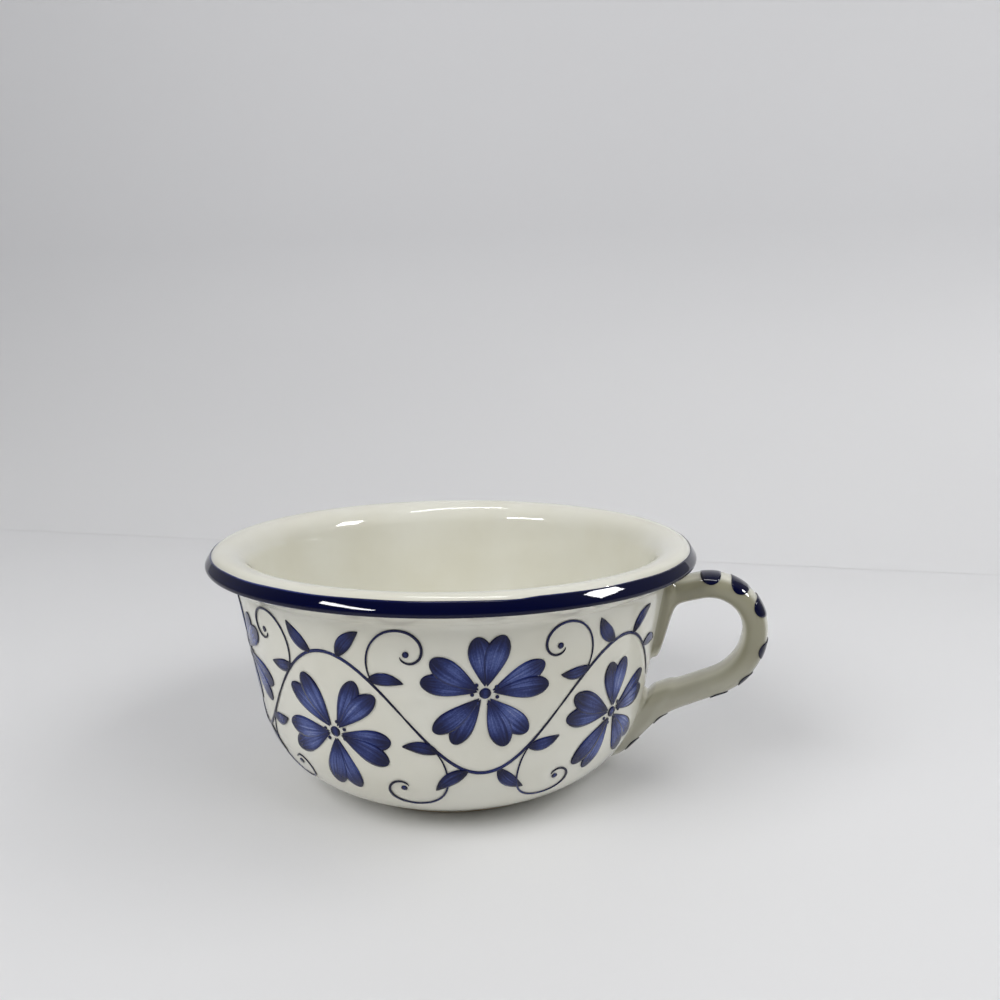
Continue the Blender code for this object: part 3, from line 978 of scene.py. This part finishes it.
# %% Petals of a blossom
PETALS = 5
PETAL_LENGTH = 17.3 * MM
PETAL_HALF_WIDTH = 3.0 * MM
PETAL_ROOT = 2.0 * MM           # from the blossom's middle to a petal's tail
PETAL_STEPS = 30
PETAL_SWAY = 0.06               # radians that a petal may be turned either way
PETAL_LENGTHS = (0.92, 1.03)    # shares of the length and of the width, drawn for each petal
PETAL_WIDTHS = (0.93, 1.06)
STROKE_LENGTHS = (0.96, 1.03)   # shares of the petal's length, drawn for each of its two strokes
EYE_RADIUS = 1.5 * MM
EYE_DOTS = 7
EYE_DOT_RADIUS = 0.5 * MM
EYE_RING = 3.3 * MM             # radius on which the dots stand
chance = Random(11)
petal_lines = []


def blossom(spot, turn):
    """Five petals of two comma strokes each, round an eye of dots."""
    for k in range(PETALS):
        angle = turn + 2 * pi * k / PETALS + chance.uniform(-PETAL_SWAY, PETAL_SWAY)
        length = PETAL_LENGTH * chance.uniform(*PETAL_LENGTHS)
        size = PETAL_HALF_WIDTH * chance.uniform(*PETAL_WIDTHS)
        for hand in (-1, 1):
            reach = length * chance.uniform(*STROKE_LENGTHS)

            def half_petal(t, hand=hand, reach=reach, size=size):
                aside = size * (0.10 + 0.88 * t ** 1.1 + 0.16 * t ** 4)
                return hand * aside, PETAL_ROOT + (reach - PETAL_ROOT) * t

            petal_lines.append(stroke(spot, turned(angle, half_petal), comma(size), PETAL_STEPS))
    dab(spot, 0.0, 0.0, EYE_RADIUS)
    for k in range(EYE_DOTS):
        angle = turn + 2 * pi * (k + 0.5) / EYE_DOTS
        dab(spot, EYE_RING * cos(angle), EYE_RING * sin(angle), EYE_DOT_RADIUS)


# %% Blossoms round the wall
BLOSSOMS = 9
FIRST_BLOSSOM = radians(30)     # clear of the handle on both sides
BLOSSOM_STEP = (2 * pi - 2 * FIRST_BLOSSOM) / (BLOSSOMS - 1)
HIGH_DROP = 24 * MM
LOW_DROP = 38 * MM
for k in range(BLOSSOMS):
    blossom((FIRST_BLOSSOM + k * BLOSSOM_STEP, HIGH_DROP if k % 2 else LOW_DROP), chance.uniform(0, 2 * pi))
print(f"{BLOSSOMS} blossoms, {len(petal_lines)} petal strokes")

# %% [markdown]
# A vine winds between the blossoms, over each low one and under each high one, so that one wave can be
# its rule. Leaves stand on its crests and in its troughs, and two curls spring from each slope into the
# empty corners above and below it.

# %% Vine
VINE_DROP = 31 * MM
VINE_SWING = 16.5 * MM
VINE_HALF_WIDTH = 0.44 * MM
VINE_POINTS = 60                # for each crest or trough, which is one stroke
VINE_REACH = 0.56               # of a stroke to each side, in blossoms, so that its ends overlap others


def vine(place):
    """Angle and drop of the vine at a place counted in blossoms."""
    return FIRST_BLOSSOM + place * BLOSSOM_STEP, VINE_DROP - VINE_SWING * cos(pi * place)


for k in range(BLOSSOMS):
    shares = [i / VINE_POINTS for i in range(VINE_POINTS + 1)]
    pressed = thread(VINE_HALF_WIDTH)
    thread_lines.append([(on_wall(vine(k + VINE_REACH * (2 * share - 1)), 0.0, 0.0), pressed(share))
                         for share in shares])
print(f"vine: {BLOSSOMS} strokes, {BLOSSOM_STEP / pi * 180:.0f} degrees from one to the next")

# %% Leaves
LEAVES = [
    # place from the crest or trough in blossoms, lean in degrees, length in millimetres
    (-0.29, 140, 9.5), (-0.10, 114, 10.5), (0.10, 66, 10.5), (0.29, 40, 9.5),
]
LEAF_JITTER = 6                 # degrees that a leaf may lean more or less
LEAF_BOW = 0.08                 # shares of a leaf's length
LEAF_HALF_WIDTH = 0.19
LEAF_STEPS = 22
VINE_NUDGE = 0.01               # the vine's direction is taken over this far on both sides, in blossoms
leaf_lines = []


def wall_offset(spot, other):
    """Steps right and up along the wall from a spot to another."""
    return Vector(((other[0] - spot[0]) * wall_spot(spot[1]).x, spot[1] - other[1]))


def heading(step):
    """Angle of a step on the wall, from level."""
    return step.angle_signed(Vector((1.0, 0.0)))


def leaf(place, lean, length):
    """An almond leaf on the vine, leaning off its line."""
    def rib(t):
        return length * t, copysign(LEAF_BOW, lean) * length * sin(pi * t)

    way = heading(wall_offset(vine(place - VINE_NUDGE), vine(place + VINE_NUDGE)))
    leaf_lines.append(stroke(vine(place), turned(way + lean, rib), almond(LEAF_HALF_WIDTH * length),
                             LEAF_STEPS))


for k in range(BLOSSOMS):
    outer = -1 if k % 2 else 1
    for place, lean, length in LEAVES:
        leaf(k + place, outer * radians(lean + chance.uniform(-LEAF_JITTER, LEAF_JITTER)), length * MM)
print(f"{len(leaf_lines)} leaves")

# %% Curls
CURL_START = 0.14               # on the vine, in blossoms from halfway between two of them
CURL_ASIDE = radians(1.5)       # from that halfway line to a curl's eye
CURL_DROPS = (13 * MM, 53 * MM)
CURL_WINDS = radians(390)
CURL_EYE = 1.7 * MM             # radius at which the winding ends
CURL_DOT_RADIUS = 0.85 * MM
CURL_HALF_WIDTH = 0.36 * MM
CURL_STEPS = 64


def curl(spot, start, winds):
    """A tendril that winds from a start on the vine into its eye, which is a dot at the spot."""
    step = wall_offset(spot, start)

    def winding(t):
        reach = step.length * (CURL_EYE / step.length) ** t
        return reach * cos(heading(step) + winds * t), reach * sin(heading(step) + winds * t)

    thread_lines.append(stroke(spot, winding, thread(CURL_HALF_WIDTH), CURL_STEPS))
    dab(spot, 0.0, 0.0, CURL_DOT_RADIUS)


for k in range(BLOSSOMS - 1):
    way = -1 if k % 2 else 1
    middle = k + 0.5
    for drop, hand in zip(CURL_DROPS, (way, -way)):
        angle = FIRST_BLOSSOM + middle * BLOSSOM_STEP + hand * CURL_ASIDE
        curl((angle, drop), vine(middle - hand * CURL_START), -way * CURL_WINDS)
print(f"{len(thread_lines)} threads and dots with the curls")

# %% Painting the wall
petals = painted_piece("wall_petals", petal_lines, bowl, points_across=9, load=0.31, pooling=0.20, seed=21)
leaves = painted_piece("wall_leaves", leaf_lines, bowl, points_across=7, load=0.55, pooling=0.12, seed=22)
threads = painted_piece("wall_threads", thread_lines, bowl, points_across=5, load=0.62, pooling=0.05, seed=23)

# %% [markdown]
# ## Floor and light
# A glossy pot shows its room, so the room matters. Rectangular lights show on it as hard white patches,
# on the band and inside the back of the rim, and these tell where the lights hang: one over the handle's
# side, one over the left front, and one overhead. The bowl stands on a pale floor, a pale board sweeps up
# behind it, and a plain pale world fills the shade.

# %% Stage
FLOOR_HALF_WIDTH = 1.6
FLOOR_HALF_DEPTH = 1.2
BOARD_SIDES = (-0.80, 0.36)     # the upright board's left and right, just outside the picture
BOARD_LIFT = 0.1 * MM           # keeps the board's foot off the floor
SWEEP_START = 0.30
SWEEP_ROUND = 0.25
SWEEP_TOP = 1.2
SWEEP_STEPS = 12
FLOOR_COLOURS = [(0.0, "E5E5E6"), (1.0, "D4D4D6")]      # on the floor, and where the board is upright
FLOOR_ROUGHNESS = 0.55

stage_points = [(x, y, 0.0) for y in (-FLOOR_HALF_DEPTH, FLOOR_HALF_DEPTH)
                for x in (-FLOOR_HALF_WIDTH, FLOOR_HALF_WIDTH)]
for k in range(SWEEP_STEPS + 1):
    angle = pi / 2 * k / SWEEP_STEPS
    depth = SWEEP_START + SWEEP_ROUND * sin(angle)
    stage_points += [(x, depth, SWEEP_ROUND * (1 - cos(angle)) + BOARD_LIFT) for x in BOARD_SIDES]
stage_points += [(x, SWEEP_START + SWEEP_ROUND, SWEEP_TOP) for x in BOARD_SIDES]
floor_mesh = bpy.data.meshes.new("floor")
floor_mesh.from_pydata(stage_points, [], [
    (0, 1, 3, 2),
    *((k, k + 1, k + 3, k + 2) for k in range(4, len(stage_points) - 2, 2)),
])
floor_mesh.shade_smooth()
floor_finish, floor_tree, floor_shader, floor_place = new_material("matt_white_board")
height = add(floor_tree, "ShaderNodeSeparateXYZ", {"Vector": floor_place}).outputs["Z"]
rise = add(floor_tree, "ShaderNodeMapRange", {"Value": height, "From Max": SWEEP_ROUND})
pale = ramp_stops(add(floor_tree, "ShaderNodeValToRGB", {"Fac": rise}), FLOOR_COLOURS)
feed(floor_shader, {"Base Color": pale, "Roughness": FLOOR_ROUGHNESS})
floor_mesh.materials.append(floor_finish)
floor = new_object("floor", floor_mesh)
print(f"floor: {2 * FLOOR_HALF_WIDTH} by {2 * FLOOR_HALF_DEPTH} m, with a board {SWEEP_TOP} m tall")

# %% Lights
LIGHTS = {
    # name: (azimuth, elevation, metres away, width, depth, watts, what it is for)
    "panel_over_handle": (6, 40, 1.55, 0.38, 0.29, 16.3, "reflections"),
    "panel_left_front": (-128, 41, 1.55, 0.60, 0.10, 8.8, "reflections"),
    "strip_overhead": (64, 88, 1.00, 0.55, 0.07, 2.2, "reflections"),
    "soft_left": (-127, 43, 1.45, 0.80, 0.80, 11.0, "surfaces"),
    "soft_right": (10, 50, 0.75, 0.35, 0.35, 1.25, "surfaces"),
    "soft_right_front": (-27, 44, 1.50, 0.70, 0.70, 5.2, "surfaces"),
}
for name, (azimuth, elevation, away, width, depth, watts, use) in LIGHTS.items():
    lamp = bpy.data.lights.new(name, "AREA")
    lamp.shape = "RECTANGLE"
    lamp.size = width
    lamp.size_y = depth
    lamp.energy = watts
    made = new_object(name, lamp)
    turn, rise = radians(azimuth), radians(elevation)
    made.location = away * Vector((cos(rise) * cos(turn), cos(rise) * sin(turn), sin(rise)))
    made.rotation_euler = (pi / 2 - rise, 0.0, turn + pi / 2)
    made.visible_diffuse = use == "surfaces"
    made.visible_glossy = use == "reflections"
print("lights:", ", ".join(LIGHTS))

# %% World
ROOM_COLOUR = "EDEEF0"
ROOM = {
    # part: (axis of the looking direction, where it starts and ends to change, strength before and after)
    "behind": ("Y", -0.5, 0.2, 0.08, 0.30),
    "low": ("Z", 0.10, 0.40, 0.30, 0.0),
    "above": ("Z", 0.75, 1.0, 0.0, 0.20),
}

world = bpy.data.worlds.new("pale_room")
world.use_nodes = True
room_tree = world.node_tree
looking = add(room_tree, "ShaderNodeTexCoord").outputs["Generated"]
ways = add(room_tree, "ShaderNodeSeparateXYZ", {"Vector": looking}).outputs
behind, low, above = (
    add(room_tree, "ShaderNodeMapRange", {
        "Value": ways[axis], "From Min": start, "From Max": end, "To Min": before, "To Max": after}, **SMOOTH)
    for axis, start, end, before, after in ROOM.values())
around = add(room_tree, "ShaderNodeMath", {0: behind, 1: low}, operation="MAXIMUM")
glow = add(room_tree, "ShaderNodeMath", {0: around, 1: above}, operation="ADD")
feed(room_tree.nodes["Background"], {"Color": linear(ROOM_COLOUR), "Strength": glow})
bpy.context.scene.world = world
bpy.context.scene.view_settings.view_transform = "Standard"
print("world:", world.name)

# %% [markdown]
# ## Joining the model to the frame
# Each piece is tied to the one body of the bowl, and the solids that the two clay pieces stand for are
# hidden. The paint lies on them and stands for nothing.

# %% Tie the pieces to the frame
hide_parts("bowl_body")
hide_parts("handle", "upper_slip_joint", "lower_slip_joint")
for piece in (bowl, handle, rim_band, handle_dashes, petals, leaves, threads):
    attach(piece, "root")
